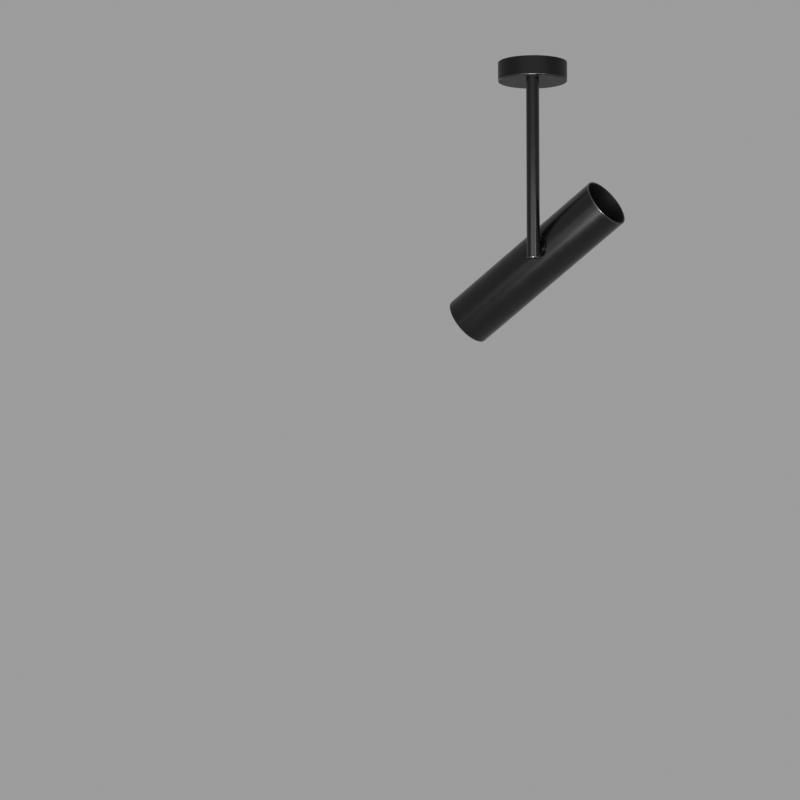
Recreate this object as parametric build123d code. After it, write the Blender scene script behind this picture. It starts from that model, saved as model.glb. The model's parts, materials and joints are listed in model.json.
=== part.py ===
from build123d import *
import os
from math import asin, degrees, hypot, radians, sqrt, tan

# Ceiling spotlight: a round canopy, a straight stem that turns in it, and an open-ended tube
# head that tilts on a hollow pin beside the stem. Millimetres, +Z up. The origin is the middle of
# the canopy where it meets the ceiling, and the lamp hangs below it. X runs right, Y away from
# the viewer. The stem and head are stored panned and tilted as below.

pan_rest = 34.0
tilt_rest = 58.0
tilt_limit = 90.0
stop_spare = 1.5

# Clearances and small sizes that many pieces share
running_fit = 0.05
face_gap = 0.1
slip_fit = 0.1
overrun = 2.0
edge_break = 0.3

# Canopy
canopy_diameter = 80.0
canopy_height = 22.5
canopy_wall = 1.5
canopy_floor = 2.0
canopy_edge_radius = 1.3
canopy_inner_corner = 1.0

# Ceiling bracket inside the canopy
bracket_thickness = 1.5
bracket_canopy_gap = 0.4
bracket_stem_gap = 14.0
bracket_rear_gap = 7.1
tab_width = 12.0
tab_drop = 13.0
slot_rim_gap = 10.1
slot_width = 5.0
slot_length = 9.0
cable_hole_diameter = 12.0

# Set screws that hold the canopy to the bracket tabs
grub_diameter = 4.0
grub_length = 5.0
grub_recess = 0.3
grub_height = 8.0
grub_hole_gap = 0.2
hex_key = 2.0
hex_depth = 2.0

# Terminal block under the bracket
pole_pitch = 10.5
pole_width = 6.5
block_depth = 14.0
block_height = 11.0
block_web = 4.0
block_rear_margin = 3.0
pole_chamfer = 0.8
wire_height = 5.5
sleeve_diameter = 4.6
sleeve_bore = 2.8
sleeve_recess = 1.0
terminal_screw_diameter = 3.0
terminal_screw_spacing = 6.6
terminal_screw_recess = 0.8
block_screw_diameter = 2.5
small_head_diameter = 3.7
small_head_height = 1.6
screw_slot_width = 0.6
screw_slot_depth = 0.7

# Lead and its cores
lead_diameter = 4.0
lead_bore_gap = 0.8
core_diameter = 1.6
core_circle = 0.98
arc_share = 0.45
lead_rise = 2.1
lead_canopy_run_in = 0.7
lead_stem_bend = 4.0
lead_head_run_in = 1.6
lead_canopy_end = 4.0
core_lead_in = 2.5
lead_bracket_screw_gap = 0.3

# Cord grip under the bracket
grip_front_margin = 0.6
grip_length = 5.0
grip_width = 18.0
grip_wall = 2.0
grip_screw_spacing = 11.0
grip_screw_diameter = 3.0
grip_corner = 1.0

# Pan bearing of the stem in the canopy floor
stem_rim_gap = 14.0
spigot_diameter = 10.0
spigot_flats = 8.6
spigot_above_nut = 0.8
spigot_plug_length = 16.0
bush_barrel_wall = 1.5
bush_flange_width = 2.5
bush_flange_thickness = 1.5
pan_washer_thickness = 0.5
pan_washer_inset = 0.2
stop_washer_thickness = 1.0
stop_ring_width = 2.5
pan_tab_width = 1.6
pan_tab_overlap = 1.0
pan_stop_pin_diameter = 1.6
pan_stop_pin_gap = 0.9
pan_stop_pin_seat = 1.2
pan_stop_pin_rise = 0.5
pan_spring_thickness = 0.4
pan_spring_height = 0.8
pan_spring_width = 3.0
pan_nut_flats = 14.0
pan_nut_height = 4.0

# Stem
stem_diameter = 15.0
stem_wall = 2.0
stem_length = 210.4
stem_end_radius = 1.2
stem_top_chamfer = 0.4
core_plug_recess = 0.4
core_plug_above_pin = 9.0

# Tilt joint: sizes along the pin are measured from the stem's axis
pin_above_stem_end = 15.5
pin_diameter = 8.0
pin_flats = 6.8
pin_start = 3.0
pin_past_nut = 1.0
collar_diameter = 14.0
collar_chamfer = 0.4
washer_thickness = 0.6
washer_diameter = 16.0
tilt_spring_thickness = 0.5
tilt_spring_height = 1.2
tilt_stop_washer_thickness = 1.0
tilt_ring_width = 3.5
tilt_tab_width = 3.0
tilt_tab_overlap = 1.2
tilt_stop_pin_diameter = 3.0
tilt_stop_pin_gap = 0.8
tilt_stop_pin_seat = 3.0
tilt_stop_pin_rise = 0.4
tilt_nut_flats = 13.0
tilt_nut_height = 4.0
pocket_diameter = 24.4
pocket_floor_depth = 5.5
pocket_rim_chamfer = 0.5
seat_flange = 4.0
seat_thickness = 5.0

# Head tube
tube_wall = 2.0
tube_lamp_gap = 3.0
tube_front = 140.0
tube_rear = 88.0
tube_stem_gap = 1.0
tube_edge_radius = 0.6

# Discs across the inside of the tube
disc_thickness = 1.5
disc_skirt = 8.0
disc_corner = 1.0
partition_depth = 36.0
vent_diameter = 7.0
vent_circle_share = 0.7
vent_count = 4

# Lamp and lampholder
lamp_recess = 28.0
lamp_diameter = 50.0
lamp_rim = 8.0
lamp_length = 47.0
lamp_neck_diameter = 31.0
lamp_neck_length = 12.0
lamp_base_diameter = 25.0
lamp_base_length = 4.0
lens_rim_width = 3.0
lens_recess = 0.4
lens_edge = 1.2
lens_crown = 1.4
lens_seat = 1.0
reflector_depth = 14.0
reflector_floor_diameter = 12.0
led_diameter = 9.0
led_height = 1.2
lamp_pin_spacing = 10.0
lamp_pin_shank = 2.6
lamp_pin_head = 5.0
lamp_pin_head_length = 3.4
lamp_pin_length = 7.0
holder_length = 27.0
holder_width = 17.0
holder_height = 22.0
holder_slot_gap = 0.2
holder_slot_turn = 22.0
holder_slot_depth_gap = 0.6
holder_chamfer = 0.6
holder_back_recess = 3.0
holder_back_diameter = 13.0
holder_screw_diameter = 3.0
holder_screw_spacing = 20.8
holder_screw_depth = 8.0
pan_head_diameter = 5.6
pan_head_height = 2.0

# Grommet and earth screw in the lamp carrier
grommet_bore = 4.4
grommet_neck = 8.0
grommet_flange = 11.0
grommet_lip = 1.0
earth_screw_diameter = 4.0
earth_screw_below = 4.0
earth_head_diameter = 7.6
earth_head_height = 2.4
eyelet_diameter = 7.6
eyelet_thickness = 0.8
eyelet_neck = 0.6
eyelet_barrel_length = 4.0
eyelet_barrel_diameter = 2.4
lead_head_end = 27.0
earth_core_drop = 5.0
earth_core_run = 4.0
earth_angle = 45.0

# Trim ring round the lamp
ring_length = 12.0
ring_lip = 1.5
ring_lip_overlap = 1.1
ring_lamp_gap = 0.3

# Radii and places worked out from the sizes above
canopy_radius = canopy_diameter / 2
canopy_inner_radius = canopy_radius - canopy_wall
stem_offset = canopy_radius - stem_rim_gap
floor_top = canopy_floor - canopy_height
bracket_radius = canopy_inner_radius - bracket_canopy_gap
bracket_front = stem_offset - bracket_stem_gap
bracket_rear = bracket_radius - bracket_rear_gap
slot_spacing = 2 * (bracket_radius - slot_rim_gap)
block_centre_y = bracket_rear - block_rear_margin - block_depth / 2
tab_outer_x = sqrt(bracket_radius**2 - (tab_width / 2) ** 2)
lead_radius = lead_diameter / 2
lead_bore_radius = lead_radius + lead_bore_gap
lead_canopy_z = -(bracket_thickness + lead_rise + lead_radius)
wire_z = -(bracket_thickness + wire_height)
core_radius = core_diameter / 2

spigot_radius = spigot_diameter / 2
bush_inner_radius = spigot_radius + running_fit
bush_radius = bush_inner_radius + bush_barrel_wall
bush_flange_radius = spigot_radius + bush_flange_width
flange_top = floor_top + bush_flange_thickness
stop_washer_z = flange_top + face_gap
pan_spring_z = stop_washer_z + stop_washer_thickness
pan_nut_z = pan_spring_z + pan_spring_height
spigot_top = pan_nut_z + pan_nut_height + spigot_above_nut
pan_stop_circle = bush_flange_radius + pan_stop_pin_gap + pan_stop_pin_diameter / 2 + pan_tab_overlap / 2

stem_radius = stem_diameter / 2
stem_bore_radius = stem_radius - stem_wall
stem_top = -(canopy_height + pan_washer_thickness + face_gap)
stem_drop = stem_length - stem_top
pin_drop = stem_drop - pin_above_stem_end

lamp_radius = lamp_diameter / 2
lens_radius = lamp_radius - lens_rim_width
tube_inner_radius = lamp_radius + tube_lamp_gap
tube_radius = tube_inner_radius + tube_wall
disc_radius = tube_inner_radius - slip_fit
head_axis_y = stem_radius + tube_stem_gap + tube_radius
pin_radius = pin_diameter / 2
pin_bore_radius = pin_radius + running_fit
pocket_radius = pocket_diameter / 2
pocket_floor_y = head_axis_y - tube_radius + pocket_floor_depth
washer_y = pocket_floor_y - face_gap - washer_thickness
seat_radius = pocket_radius + seat_flange
seat_back_y = pocket_floor_y + seat_thickness
inner_washer_y = seat_back_y + face_gap
tilt_spring_y = inner_washer_y + washer_thickness
tilt_stop_washer_y = tilt_spring_y + tilt_spring_height
tilt_nut_y = tilt_stop_washer_y + tilt_stop_washer_thickness
pin_end_y = tilt_nut_y + tilt_nut_height + pin_past_nut
tilt_stop_circle = washer_diameter / 2 + tilt_stop_pin_gap + tilt_stop_pin_diameter / 2
tilt_stop_contact = degrees(asin((tilt_tab_width + tilt_stop_pin_diameter) / (2 * tilt_stop_circle)))
tilt_stop_angle = tilt_limit + stop_spare + tilt_stop_contact

lamp_face_z = lamp_recess - tube_front
lamp_back_z = lamp_face_z + lamp_length
lens_inner_z = lamp_face_z + lens_recess + lens_crown + lens_edge
reflector_floor_z = lens_inner_z + reflector_depth
carrier_front_z = lamp_back_z + holder_height
carrier_rear_z = carrier_front_z + disc_thickness
partition_z = tube_rear - partition_depth
carrier_vent_circle = disc_radius * vent_circle_share


# Helpers
def turned(*outline):
    """Solid of revolution about Z from pairs of radius and height."""
    corners = [(radius, 0, height) for radius, height in outline]
    return revolve(make_face(Polyline(*corners, close=True)), Axis.Z)


def ring(outer_radius, inner_radius, start, height):
    return turned(
        (inner_radius, start),
        (outer_radius, start),
        (outer_radius, start + height),
        (inner_radius, start + height),
    )


def rims(shape, height, *radii):
    """Round edges about Z at one height, with the radii given."""
    edges = shape.edges().filter_by(GeomType.CIRCLE)
    level = edges.filter_by(lambda edge: abs(edge.arc_center.Z - height) < face_gap)
    return level.filter_by(lambda edge: min(abs(edge.radius - radius) for radius in radii) < face_gap)


def rod(radius, start, height):
    return Pos(0, 0, start) * Cylinder(radius, height, align=(Align.CENTER, Align.CENTER, Align.MIN))


def block(size_x, size_y, start, height):
    return Pos(0, 0, start) * Box(size_x, size_y, height, align=(Align.CENTER, Align.CENTER, Align.MIN))


def spring_disc(outer_radius, inner_radius, start, height, thickness):
    """Coned disc spring, resting on its outer edge."""
    return turned(
        (outer_radius, start),
        (outer_radius, start + thickness),
        (inner_radius, start + height),
        (inner_radius, start + height - thickness),
    )


def hex_nut(flats, bore_radius, start, height):
    corner = flats / sqrt(3)
    rise = corner - flats / 2
    prism = extrude(RegularPolygon(flats / 2, 6, major_radius=False), amount=height)
    crown = turned(
        (0, 0),
        (flats / 2, 0),
        (corner, rise),
        (corner, height - rise),
        (flats / 2, height),
        (0, height),
    )
    return Pos(0, 0, start) * ((prism & crown) - rod(bore_radius, -overrun, height + 2 * overrun))


def stop_washer(ring_radius, flats, shaft_radius, tab_width, tab_reach, start, thickness):
    """Washer keyed to a flatted shaft, with one tab towards +Y."""
    body = rod(ring_radius, start, thickness)
    tab = Pos(0, tab_reach / 2, 0) * block(tab_width, tab_reach, start, thickness)
    hole = rod(shaft_radius, start - overrun, thickness + 2 * overrun)
    hole &= block(flats, 2 * ring_radius, start - overrun, thickness + 2 * overrun)
    return body + tab - hole


def flatted(shaft, shaft_radius, flats, start, height):
    """Cuts two flats, square to X, on a shaft."""
    sleeve = block(2 * (shaft_radius + overrun), 2 * (shaft_radius + overrun), start, height)
    return shaft - (sleeve - block(flats, 2 * (shaft_radius + 2 * overrun), start, height))


def pan_head_screw(shank_radius, shank_length, head_radius, head_height):
    """Screw along Z: its head stands above zero, its shank below."""
    head = turned(
        (0, 0),
        (head_radius, 0),
        (head_radius, head_height / 2),
        (head_radius - head_height / 2, head_height),
        (0, head_height),
    )
    head -= block(screw_slot_width, 2 * (head_radius + overrun), head_height - screw_slot_depth, overrun)
    return head + rod(shank_radius, -shank_length, shank_length)


def bend_radii(points, tightest):
    """Arc radii for a cord's corners, from its runs and turns, never under the tightest."""
    vectors = [Vector(*b) - Vector(*a) for a, b in zip(points, points[1:])]
    radii = []
    for before, after in zip(vectors, vectors[1:]):
        half_turn = radians(before.get_angle(after) / 2)
        shorter = min(before.length, after.length)
        radii.append(max(arc_share * shorter / tan(half_turn), tightest))
    return radii


def cord(points, radii, radius):
    path = FilletPolyline(*points, radius=radii)
    return sweep(Plane(origin=path @ 0, z_dir=path % 0) * Circle(radius), path=path)


def along_pin(shape):
    """Turns a shape made about Z so that its Z runs along the pin, away from the stem."""
    return Rot(-90, 0, 0) * shape


def on_stem_axis(shape):
    return Pos(0, -stem_offset, 0) * shape


def in_stem(shape):
    return on_stem_axis(Rot(0, 0, -pan_rest) * shape)


def at_pin(shape):
    return in_stem(Pos(0, 0, -pin_drop) * shape)


def in_head(shape):
    return at_pin(Rot(0, tilt_rest, 0) * shape)


def on_head_axis(shape):
    return in_head(Pos(0, head_axis_y, 0) * shape)


def save(name, shape):
    export_step(shape, f"parts/{name}.step")


# Canopy and what is fixed in it
def canopy():
    shell = turned(
        (canopy_inner_radius, 0),
        (canopy_radius, 0),
        (canopy_radius, -canopy_height),
        (0, -canopy_height),
        (0, floor_top),
        (canopy_inner_radius - canopy_inner_corner, floor_top),
        (canopy_inner_radius, floor_top + canopy_inner_corner),
    )
    shell = fillet(rims(shell, -canopy_height, canopy_radius), canopy_edge_radius)
    shell -= on_stem_axis(rod(bush_radius, -canopy_height - overrun, canopy_floor + 2 * overrun))
    shell -= pan_stop_pin()
    screw_hole_radius = (grub_diameter + grub_hole_gap) / 2
    screw_hole = rod(screw_hole_radius, canopy_inner_radius - overrun, canopy_wall + 2 * overrun)
    for turn in (90, -90):
        shell -= Pos(0, 0, -grub_height) * Rot(0, turn, 0) * screw_hole
    return shell


def ceiling_bracket():
    outline = Circle(bracket_radius) & Pos(0, (bracket_rear - bracket_front) / 2) * Rectangle(
        2 * tab_outer_x, bracket_rear + bracket_front
    )
    plate = extrude(outline, amount=-bracket_thickness)
    tab_x = tab_outer_x - bracket_thickness / 2
    for side in (-1, 1):
        plate += Pos(side * tab_x, 0, 0) * block(bracket_thickness, tab_width, -tab_drop, tab_drop)
    outer_bends = plate.edges().filter_by(Axis.Y).group_by(Axis.Z)[-1]
    plate = fillet(outer_bends.filter_by(lambda edge: abs(edge.center().X) > tab_x), bracket_thickness)
    for side in (-1, 1):
        slot = extrude(SlotOverall(slot_length, slot_width), amount=-bracket_thickness - overrun)
        plate -= Pos(side * slot_spacing / 2, 0, overrun / 2) * slot
        thread = Rot(0, 90, 0) * Cylinder(grub_diameter / 2, 2 * bracket_thickness)
        plate -= Pos(side * tab_x, 0, -grub_height) * thread
        plate -= Pos(side * grip_screw_spacing / 2, grip_y(), 0) * bracket_hole(grip_screw_diameter)
        plate -= Pos(side * pole_pitch / 2, block_centre_y, 0) * bracket_hole(block_screw_diameter)
    return plate - bracket_hole(cable_hole_diameter)


def bracket_hole(diameter):
    return rod(diameter / 2, -bracket_thickness - overrun, bracket_thickness + 2 * overrun)


def grub_screws():
    screw = rod(grub_diameter / 2, canopy_radius - grub_recess - grub_length, grub_length)
    socket = extrude(RegularPolygon(hex_key / 2, 6, major_radius=False), amount=hex_depth)
    screw -= Pos(0, 0, canopy_radius - grub_recess - hex_depth) * socket
    return Compound([Pos(0, 0, -grub_height) * Rot(0, turn, 0) * screw for turn in (90, -90)])


def pole_places():
    return [pole_pitch * step for step in (-1, 0, 1)]


def terminal_block():
    web = Pos(0, block_centre_y, 0) * block(
        2 * pole_pitch + pole_width, block_depth, -bracket_thickness - block_web, block_web
    )
    body = web
    for x in pole_places():
        pole = block(pole_width, block_depth, -bracket_thickness - block_height, block_height)
        lower_edges = pole.edges().filter_by(Axis.Y).group_by(Axis.Z)[0]
        body += Pos(x, block_centre_y, 0) * chamfer(lower_edges, pole_chamfer)
    for x in pole_places():
        wire_hole = along_pin(Cylinder(sleeve_diameter / 2, block_depth + overrun))
        body -= Pos(x, block_centre_y, wire_z) * wire_hole
        for y in screw_offsets():
            below = -bracket_thickness - block_height - overrun
            body -= Pos(x, block_centre_y + y, 0) * rod(terminal_screw_diameter / 2, below, wire_z - below)
    for x in (-pole_pitch / 2, pole_pitch / 2):
        body -= Pos(x, block_centre_y, 0) * rod(
            block_screw_diameter / 2, -bracket_thickness - block_web - overrun, block_web + 2 * overrun
        )
    return body


def screw_offsets():
    return (-terminal_screw_spacing / 2, terminal_screw_spacing / 2)


def terminal_sleeves():
    length = block_depth - 2 * sleeve_recess
    sleeve = along_pin(Cylinder(sleeve_diameter / 2, length) - Cylinder(sleeve_bore / 2, length + overrun))
    for y in screw_offsets():
        sleeve -= Pos(0, y, 0) * rod(terminal_screw_diameter / 2, -sleeve_diameter, sleeve_diameter)
    return Compound([Pos(x, block_centre_y, wire_z) * sleeve for x in pole_places()])


def terminal_screws():
    bottom = -bracket_thickness - block_height + terminal_screw_recess
    screw = rod(terminal_screw_diameter / 2, bottom, wire_z - sleeve_bore / 2 - bottom)
    slot_length = 2 * terminal_screw_diameter
    screw -= block(screw_slot_width, slot_length, bottom - overrun, overrun + screw_slot_depth)
    return Compound(
        [Pos(x, block_centre_y + y, 0) * screw for x in pole_places() for y in screw_offsets()]
    )


def screws_up_into_bracket(xs, y, under, diameter, head_diameter, head_height):
    """Screws from below, with their heads against the height under."""
    length = -under - lead_bracket_screw_gap
    screw = pan_head_screw(diameter / 2, length, head_diameter / 2, head_height)
    return Compound([Pos(x, y, under) * Rot(180, 0, 0) * screw for x in xs])


def block_screws():
    xs = (-pole_pitch / 2, pole_pitch / 2)
    under = -bracket_thickness - block_web
    head = (small_head_diameter, small_head_height)
    return screws_up_into_bracket(xs, block_centre_y, under, block_screw_diameter, *head)


def grip_y():
    return grip_front_margin + grip_length / 2 - bracket_front


def grip_bottom():
    return lead_canopy_z - lead_radius - grip_wall


def cord_grip():
    body = block(grip_width, grip_length, grip_bottom(), -bracket_thickness - grip_bottom())
    body = fillet(body.edges().filter_by(Axis.Y).group_by(Axis.Z)[0], grip_corner)
    body -= Pos(0, 0, lead_canopy_z) * along_pin(Cylinder(lead_radius, grip_length + overrun))
    for side in (-1, 1):
        hole = rod(grip_screw_diameter / 2, grip_bottom() - overrun, -grip_bottom() + overrun)
        body -= Pos(side * grip_screw_spacing / 2, 0, 0) * hole
    return Pos(0, grip_y(), 0) * body


def grip_screws():
    xs = (-grip_screw_spacing / 2, grip_screw_spacing / 2)
    head = (pan_head_diameter, pan_head_height)
    return screws_up_into_bracket(xs, grip_y(), grip_bottom(), grip_screw_diameter, *head)


def pan_bush():
    return on_stem_axis(
        turned(
            (bush_inner_radius, -canopy_height),
            (bush_radius, -canopy_height),
            (bush_radius, floor_top),
            (bush_flange_radius, floor_top),
            (bush_flange_radius, flange_top),
            (bush_inner_radius, flange_top),
        )
    )


def pan_washer():
    start = -canopy_height - pan_washer_thickness
    outer = stem_radius - pan_washer_inset
    return on_stem_axis(ring(outer, bush_inner_radius, start, pan_washer_thickness))


def pan_stop_pin():
    top = stop_washer_z + stop_washer_thickness + pan_stop_pin_rise
    pin = rod(pan_stop_pin_diameter / 2, floor_top - pan_stop_pin_seat, top - floor_top + pan_stop_pin_seat)
    return on_stem_axis(Pos(0, pan_stop_circle, 0) * pin)


# Stem, its spigot and the stack that holds it in the canopy
def stem_tube():
    bottom = -stem_drop
    body = turned(
        (stem_bore_radius, bottom),
        (stem_radius, bottom),
        (stem_radius, stem_top - stem_top_chamfer),
        (stem_radius - stem_top_chamfer, stem_top),
        (stem_bore_radius, stem_top),
    )
    body = fillet(rims(body, bottom, stem_radius), stem_end_radius)
    return in_stem(body - Pos(0, 0, -pin_drop) * along_pin(rod(pin_radius, 0, stem_diameter)))


def stem_spigot():
    body = turned(
        (lead_bore_radius, stem_top - spigot_plug_length),
        (stem_bore_radius, stem_top - spigot_plug_length),
        (stem_bore_radius, stem_top),
        (spigot_radius, stem_top),
        (spigot_radius, spigot_top - edge_break),
        (spigot_radius - edge_break, spigot_top),
        (lead_bore_radius, spigot_top),
    )
    return in_stem(flatted(body, spigot_radius, spigot_flats, stop_washer_z, spigot_top - stop_washer_z))


def pan_stop_washer():
    reach = pan_stop_circle + pan_tab_overlap
    ring_radius = spigot_radius + stop_ring_width
    washer = stop_washer(
        ring_radius, spigot_flats, spigot_radius, pan_tab_width, reach, stop_washer_z, stop_washer_thickness
    )
    return in_stem(Rot(0, 0, 180) * washer)


def pan_spring():
    outer = spigot_radius + pan_spring_width
    heights = (pan_spring_z, pan_spring_height, pan_spring_thickness)
    return in_stem(spring_disc(outer, bush_inner_radius, *heights))


def pan_nut():
    return in_stem(hex_nut(pan_nut_flats, spigot_radius, pan_nut_z, pan_nut_height))


def stem_core():
    """Plug in the stem's end: its bore turns from the stem to the pin."""
    bottom = core_plug_recess - pin_above_stem_end
    body = rod(stem_bore_radius, bottom, core_plug_above_pin - bottom)
    body -= rod(lead_bore_radius, 0, core_plug_above_pin + overrun)
    body -= Sphere(lead_bore_radius)
    body -= along_pin(rod(lead_bore_radius, 0, stem_bore_radius + overrun))
    body -= along_pin(rod(pin_radius, pin_start, stem_bore_radius))
    return at_pin(body)


# Tilt joint on the stem's side
def swivel_pin():
    body = turned(
        (lead_bore_radius, pin_start),
        (pin_radius, pin_start),
        (pin_radius, pin_end_y - edge_break),
        (pin_radius - edge_break, pin_end_y),
        (lead_bore_radius, pin_end_y),
    )
    body = flatted(body, pin_radius, pin_flats, tilt_stop_washer_y, pin_end_y - tilt_stop_washer_y)
    return at_pin(along_pin(body))


def swivel_collar():
    """Spacer whose stem end is hollowed to sit on the round stem."""
    body = turned(
        (pin_radius, 0),
        (collar_diameter / 2, 0),
        (collar_diameter / 2, washer_y - collar_chamfer),
        (collar_diameter / 2 - collar_chamfer, washer_y),
        (pin_radius, washer_y),
    )
    return at_pin(along_pin(body) - Cylinder(stem_radius, 2 * collar_diameter))


def friction_washer(outer_radius, start):
    return at_pin(along_pin(ring(outer_radius, pin_bore_radius, start, washer_thickness)))


def tilt_spring():
    heights = (tilt_spring_y, tilt_spring_height, tilt_spring_thickness)
    return at_pin(along_pin(spring_disc(washer_diameter / 2, pin_bore_radius, *heights)))


def tilt_stop_washer():
    reach = tilt_stop_circle + tilt_tab_overlap
    washer = stop_washer(
        pin_radius + tilt_ring_width,
        pin_flats,
        pin_radius,
        tilt_tab_width,
        reach,
        tilt_stop_washer_y,
        tilt_stop_washer_thickness,
    )
    return at_pin(along_pin(washer))


def tilt_nut():
    return at_pin(along_pin(hex_nut(tilt_nut_flats, pin_radius, tilt_nut_y, tilt_nut_height)))


# Head tube and joint seat
def head_tube():
    body = ring(tube_radius, tube_inner_radius, -tube_front, tube_front + tube_rear)
    for end in (-tube_front, tube_rear):
        body = fillet(rims(body, end, tube_radius, tube_inner_radius), tube_edge_radius)
    body = Pos(0, head_axis_y, 0) * body - along_pin(rod(pocket_radius, 0, head_axis_y))
    return in_head(chamfer(body.edges().filter_by(on_pocket_rim), pocket_rim_chamfer))


def on_pocket_rim(edge):
    point = edge @ 0.5
    off_pocket = hypot(point.X, point.Z) - pocket_radius
    off_tube = hypot(point.X, point.Y - head_axis_y) - tube_radius
    return abs(off_pocket) + abs(off_tube) < face_gap


def stop_pin_places():
    return [Rot(0, 0, side * tilt_stop_angle) * Pos(0, tilt_stop_circle, 0) for side in (-1, 1)]


def joint_seat():
    """Thick disc inside the tube whose pocket carries the tilt joint."""
    start = head_axis_y - tube_inner_radius
    body = along_pin(rod(seat_radius, start, seat_back_y - start))
    body &= Pos(0, head_axis_y, 0) * Cylinder(tube_inner_radius, 2 * seat_radius + overrun)
    body -= along_pin(rod(pocket_radius, 0, pocket_floor_y))
    body -= along_pin(rod(pin_bore_radius, 0, head_axis_y))
    body -= along_pin(tilt_pins_upright())
    return in_head(body)


def tilt_pins_upright():
    start = seat_back_y - tilt_stop_pin_seat
    top = tilt_nut_y + tilt_stop_pin_rise
    pin = rod(tilt_stop_pin_diameter / 2, start, top - start)
    return Compound([place * pin for place in stop_pin_places()])


def tilt_stop_pins():
    return in_head(along_pin(tilt_pins_upright()))


# Discs, lampholder and lamp inside the tube
def flanged_disc(face_z):
    """Disc whose skirt runs towards the rear of the tube."""
    rear = face_z + disc_thickness
    return turned(
        (0, face_z),
        (disc_radius - disc_corner, face_z),
        (disc_radius, face_z + disc_corner),
        (disc_radius, rear + disc_skirt),
        (disc_radius - disc_thickness, rear + disc_skirt),
        (disc_radius - disc_thickness, rear),
        (0, rear),
    )


def rear_partition():
    cap = Pos(0, 0, partition_z) * Rot(180, 0, 0) * flanged_disc(0)
    return on_head_axis(cap)


def earth_place():
    return Rot(0, 0, earth_angle) * Pos(carrier_vent_circle, 0, 0)


def lamp_carrier():
    body = flanged_disc(carrier_front_z)
    through = disc_thickness + 2 * overrun
    body -= rod(grommet_neck / 2, carrier_front_z - overrun, through)
    for place in PolarLocations(carrier_vent_circle, vent_count):
        body -= place * rod(vent_diameter / 2, carrier_front_z - overrun, through)
    for side in (-1, 1):
        hole = rod(holder_screw_diameter / 2, carrier_front_z - overrun, through)
        body -= Pos(side * holder_screw_spacing / 2, 0, 0) * hole
    body -= earth_place() * rod(earth_screw_diameter / 2, carrier_front_z - overrun, through)
    return on_head_axis(body)


def lead_grommet():
    return on_head_axis(
        turned(
            (grommet_bore / 2, carrier_front_z - grommet_lip),
            (grommet_flange / 2, carrier_front_z - grommet_lip),
            (grommet_flange / 2, carrier_front_z),
            (grommet_neck / 2, carrier_front_z),
            (grommet_neck / 2, carrier_rear_z),
            (grommet_flange / 2, carrier_rear_z),
            (grommet_flange / 2, carrier_rear_z + grommet_lip),
            (grommet_bore / 2, carrier_rear_z + grommet_lip),
        )
    )


def holder_slot():
    """Round entry and curved slot for one headed pin of a twist-lock lamp."""
    radius = lamp_pin_head / 2 + holder_slot_gap
    depth = lamp_pin_length + holder_slot_depth_gap
    entry = rod(radius, lamp_back_z - overrun, depth + overrun)
    body = Pos(lamp_pin_spacing / 2, 0, 0) * entry
    return body + Rot(0, 0, holder_slot_turn) * Pos(lamp_pin_spacing / 2, 0, 0) * entry


def lampholder():
    outline = SlotOverall(holder_length, holder_width)
    body = Pos(0, 0, lamp_back_z) * extrude(outline, amount=holder_height)
    body = chamfer(body.faces().sort_by(Axis.Z)[0].outer_wire().edges(), holder_chamfer)
    for turn in (0, 180):
        body -= Rot(0, 0, turn) * holder_slot()
    back = carrier_front_z - holder_back_recess
    body -= rod(holder_back_diameter / 2, back, holder_back_recess + overrun)
    for side in (-1, 1):
        depth = holder_screw_depth
        hole = rod(holder_screw_diameter / 2, carrier_front_z - depth, depth + overrun)
        body -= Pos(side * holder_screw_spacing / 2, 0, 0) * hole
    return on_head_axis(body)


def lampholder_screws():
    length = disc_thickness + holder_screw_depth
    head = (pan_head_diameter / 2, pan_head_height)
    screw = pan_head_screw(holder_screw_diameter / 2, length, *head)
    places = [Pos(side * holder_screw_spacing / 2, 0, carrier_rear_z) for side in (-1, 1)]
    return on_head_axis(Compound([place * screw for place in places]))


def earth_screw():
    length = eyelet_thickness + disc_thickness + earth_screw_below
    head = (earth_head_diameter / 2, earth_head_height)
    screw = pan_head_screw(earth_screw_diameter / 2, length, *head)
    return on_head_axis(earth_place() * Pos(0, 0, carrier_rear_z + eyelet_thickness) * screw)


def lamp_body():
    neck = lamp_neck_diameter / 2
    base = lamp_base_diameter / 2
    rim_z = lamp_face_z + lamp_rim
    neck_z = lamp_back_z - lamp_neck_length
    base_z = lamp_back_z - lamp_base_length
    middle_z = (rim_z + neck_z) / 2
    mouth = lens_radius - lens_seat
    bowl = reflector_floor_diameter / 2
    bowl_z = reflector_floor_z
    outline = [
        Line((lens_radius, 0, lamp_face_z), (lamp_radius, 0, lamp_face_z)),
        Line((lamp_radius, 0, lamp_face_z), (lamp_radius, 0, rim_z)),
        Bezier((lamp_radius, 0, rim_z), (lamp_radius, 0, middle_z), (neck, 0, middle_z), (neck, 0, neck_z)),
        Line((neck, 0, neck_z), (neck, 0, base_z)),
        Line((neck, 0, base_z), (base, 0, base_z)),
        Line((base, 0, base_z), (base, 0, lamp_back_z)),
        Line((base, 0, lamp_back_z), (0, 0, lamp_back_z)),
        Line((0, 0, lamp_back_z), (0, 0, bowl_z)),
        Line((0, 0, bowl_z), (bowl, 0, bowl_z)),
        Bezier((bowl, 0, bowl_z), (mouth, 0, bowl_z), (mouth, 0, lens_inner_z)),
        Line((mouth, 0, lens_inner_z), (lens_radius, 0, lens_inner_z)),
        Line((lens_radius, 0, lens_inner_z), (lens_radius, 0, lamp_face_z)),
    ]
    return on_head_axis(revolve(make_face(outline), Axis.Z))


def lamp_led():
    """Flat light source on the floor of the lamp's reflector."""
    return on_head_axis(rod(led_diameter / 2, reflector_floor_z - led_height, led_height))


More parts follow.
